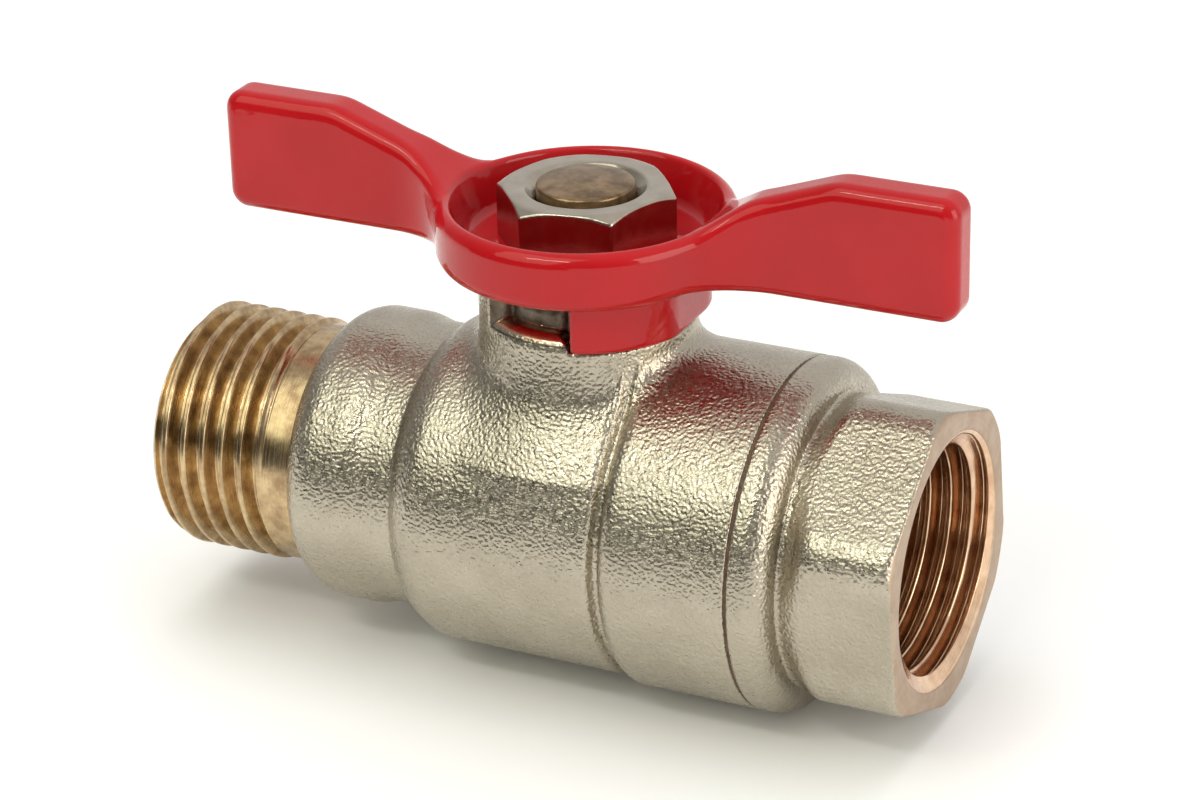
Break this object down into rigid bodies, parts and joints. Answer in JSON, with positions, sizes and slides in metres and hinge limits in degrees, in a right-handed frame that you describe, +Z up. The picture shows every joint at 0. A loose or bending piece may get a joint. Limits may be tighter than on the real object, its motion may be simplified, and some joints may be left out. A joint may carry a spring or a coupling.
{
  "type": "ball valve",
  "caption": "Quarter-turn ball valve with a male and a female pipe thread, a plated body, a hexagon end and a red butterfly handle.",
  "frame": {"origin": "where the stem axis crosses the pipe axis, at the centre of the ball", "axes": "+X along the pipe axis out of the female end, -X out of the male end, +Z up along the stem to the handle nut"},
  "size_m": [0.0692, 0.0292, 0.0461],
  "materials": {
    "nickel_plated_brass": "blasted and nickel plated, satin",
    "bare_brass": "machined",
    "red_paint": "gloss",
    "plated_nut": "bright nickel plated",
    "chrome_ball": "polished",
    "ptfe": "smooth, waxy",
    "sealant": "cured, dull"
  },
  "bodies": {
    "valve_body": {"body": "nickel_plated_brass", "end_connector": "nickel_plated_brass", "joint_sealant": "sealant", "seat_ring_male_side": "ptfe", "seat_ring_female_side": "ptfe", "stem_thrust_washer": "ptfe", "packing_ring_lower": "ptfe", "packing_ring_upper": "ptfe", "gland_nut": "bare_brass"},
    "stem_and_handle": {"stem": "bare_brass", "handle": "red_paint", "handle_nut": "plated_nut"},
    "ball": {"ball": "chrome_ball"}
  },
  "joints": [
    {"name": "handle_turn", "type": "hinge", "parent": "valve_body", "child": "stem_and_handle", "pos_m": [0, 0, 0], "axis": [0, 0, 1], "range_deg": [0, 90]},
    {"name": "ball_turn", "type": "hinge", "parent": "valve_body", "child": "ball", "pos_m": [0, 0, 0], "axis": [0, 0, 1], "range_deg": [0, 90]}
  ],
  "couplings": [
    {"joint": "ball_turn", "follows": "handle_turn", "ratio": 1}
  ]
}
